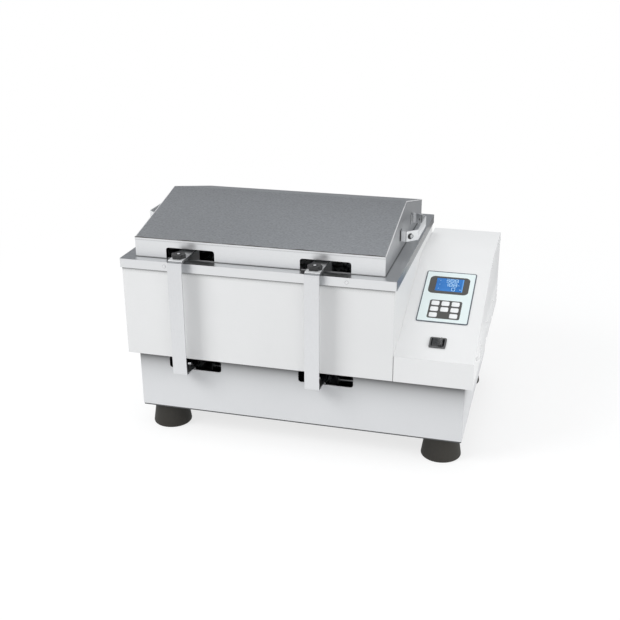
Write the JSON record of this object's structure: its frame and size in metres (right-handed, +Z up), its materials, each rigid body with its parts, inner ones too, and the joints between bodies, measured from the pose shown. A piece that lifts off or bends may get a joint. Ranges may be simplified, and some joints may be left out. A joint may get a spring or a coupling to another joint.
{
  "type": "shaking water bath",
  "caption": "Bench water bath with a gabled lid, outside arms that shake an inner rack, a sloped control console and rubber feet.",
  "frame": {"origin": "on the bench, under the middle of the machine's outer box", "axes": "+X to the right as seen by the user, towards the console; +Y to the back; +Z up"},
  "size_m": [0.6508, 0.4776, 0.4209],
  "materials": {
    "casing_paint": "white powder coat, satin, fine texture",
    "base_paint": "pale grey powder coat, satin",
    "stainless": "stainless steel, fine satin",
    "brushed_stainless": "stainless steel, matte brushed along the lid",
    "heater_sheath": "stainless sheath, dull from heat",
    "mild_steel": "zinc plated steel",
    "brass": "plain brass, dull",
    "aluminium": "cast and milled aluminium",
    "rubber": "black rubber, matte",
    "black_plastic": "black moulded plastic, satin",
    "mineral_wool": "mineral wool jacket",
    "overlay_film": "printed polyester film",
    "key_film": "white embossed film",
    "display": null,
    "circuit_board": "green circuit board with parts"
  },
  "bodies": {
    "base": {"rubber_foot_front_left": "rubber", "rubber_foot_front_right": "rubber", "rubber_foot_rear_left": "rubber", "rubber_foot_rear_right": "rubber", "base_bottom_plate": "mild_steel", "base_chassis": "base_paint", "bath_casing": "casing_paint", "bath_rim": "stainless", "bath_tank": "stainless", "tank_lagging": "mineral_wool", "heater_element": "heater_sheath", "temperature_probe": "heater_sheath", "drain_valve": "brass", "guide_rod_front": "stainless", "guide_rod_rear": "stainless", "rod_support_left": "aluminium", "rod_support_right": "aluminium", "gear_motor": "aluminium", "motor_bracket": "mild_steel", "overlay_panel": "overlay_film", "display_module": "display", "rocker_housing": "black_plastic", "console_cover": "casing_paint", "console_side_panel": "casing_paint", "console_rear_panel": "casing_paint", "console_floor": "mild_steel", "control_board": "circuit_board", "power_inlet": "black_plastic"},
    "lid": {"lid_shell": "brushed_stainless", "lid_handle_left": "stainless", "lid_handle_right": "stainless"},
    "carriage": {"carriage_frame": "mild_steel", "shaking_rack": "stainless", "bearing_front_left": "aluminium", "bearing_front_right": "aluminium", "bearing_rear_left": "aluminium", "bearing_rear_right": "aluminium", "drive_arm_front_left": "stainless", "drive_arm_front_right": "stainless", "drive_arm_rear_left": "stainless", "drive_arm_rear_right": "stainless"},
    "connecting_rod": {"connecting_rod": "mild_steel"},
    "crank": {"crank_disc": "mild_steel"},
    "drain_lever": {"drain_lever": "black_plastic"},
    "rocker": {"rocker_paddle": "black_plastic"},
    "clamp_knob_front_left": {"clamp_knob_front_left": "black_plastic"},
    "clamp_knob_front_right": {"clamp_knob_front_right": "black_plastic"},
    "clamp_knob_rear_left": {"clamp_knob_rear_left": "black_plastic"},
    "clamp_knob_rear_right": {"clamp_knob_rear_right": "black_plastic"},
    "key_1": {"key_1": "key_film"},
    "key_2": {"key_2": "key_film"},
    "key_3": {"key_3": "key_film"},
    "key_4": {"key_4": "key_film"},
    "key_5": {"key_5": "key_film"},
    "key_6": {"key_6": "key_film"},
    "key_7": {"key_7": "key_film"},
    "key_8": {"key_8": "key_film"}
  },
  "joints": [
    {"name": "shaking", "type": "slide", "parent": "base", "child": "carriage", "axis": [1, 0, 0], "range_m": [0, 0.026]},
    {"name": "crank_turn", "type": "hinge", "parent": "base", "child": "crank", "pos_m": [0.2543, -0.0051, 0.155], "axis": [0, 0, 1], "range_deg": [0, 180]},
    {"name": "rod_swing", "type": "hinge", "parent": "carriage", "child": "connecting_rod", "pos_m": [0.09275, -0.0051, 0.126], "axis": [0, 0, 1], "range_deg": [-5, 5]},
    {"name": "lid_lift", "type": "slide", "parent": "base", "child": "lid", "axis": [0, 0, 1], "range_m": [0, 0.2]},
    {"name": "drain_turn", "type": "hinge", "parent": "base", "child": "drain_lever", "pos_m": [-0.062, 0.21325, 0.19], "axis": [0, 0, 1], "range_deg": [-90, 0]},
    {"name": "rocker_tilt", "type": "hinge", "parent": "base", "child": "rocker", "pos_m": [0.2543, -0.17107, 0.21703], "axis": [0, 0.9409, 0.3388], "range_deg": [0, 28]},
    {"name": "knob_turn_front_left", "type": "hinge", "parent": "carriage", "child": "clamp_knob_front_left", "pos_m": [-0.19775, -0.21545, 0.35005], "axis": [0, 0, 1], "continuous": true},
    {"name": "knob_turn_front_right", "type": "hinge", "parent": "carriage", "child": "clamp_knob_front_right", "pos_m": [0.04775, -0.21545, 0.35005], "axis": [0, 0, 1], "continuous": true},
    {"name": "knob_turn_rear_left", "type": "hinge", "parent": "carriage", "child": "clamp_knob_rear_left", "pos_m": [-0.19775, 0.20525, 0.35005], "axis": [0, 0, 1], "continuous": true},
    {"name": "knob_turn_rear_right", "type": "hinge", "parent": "carriage", "child": "clamp_knob_rear_right", "pos_m": [0.04775, 0.20525, 0.35005], "axis": [0, 0, 1], "continuous": true},
    {"name": "key_press_1", "type": "slide", "parent": "base", "child": "key_1", "axis": [0, 0.3388, -0.9409], "range_m": [0, 0.0006], "stiffness_N_per_m": 1500},
    {"name": "key_press_2", "type": "slide", "parent": "base", "child": "key_2", "axis": [0, 0.3388, -0.9409], "range_m": [0, 0.0006], "stiffness_N_per_m": 1500},
    {"name": "key_press_3", "type": "slide", "parent": "base", "child": "key_3", "axis": [0, 0.3388, -0.9409], "range_m": [0, 0.0006], "stiffness_N_per_m": 1500},
    {"name": "key_press_4", "type": "slide", "parent": "base", "child": "key_4", "axis": [0, 0.3388, -0.9409], "range_m": [0, 0.0006], "stiffness_N_per_m": 1500},
    {"name": "key_press_5", "type": "slide", "parent": "base", "child": "key_5", "axis": [0, 0.3388, -0.9409], "range_m": [0, 0.0006], "stiffness_N_per_m": 1500},
    {"name": "key_press_6", "type": "slide", "parent": "base", "child": "key_6", "axis": [0, 0.3388, -0.9409], "range_m": [0, 0.0006], "stiffness_N_per_m": 1500},
    {"name": "key_press_7", "type": "slide", "parent": "base", "child": "key_7", "axis": [0, 0.3388, -0.9409], "range_m": [0, 0.0006], "stiffness_N_per_m": 1500},
    {"name": "key_press_8", "type": "slide", "parent": "base", "child": "key_8", "axis": [0, 0.3388, -0.9409], "range_m": [0, 0.0006], "stiffness_N_per_m": 1500}
  ],
  "couplings": [
    {"joint": "crank_turn", "follows": "shaking", "rad_per_m": 120.8}
  ]
}
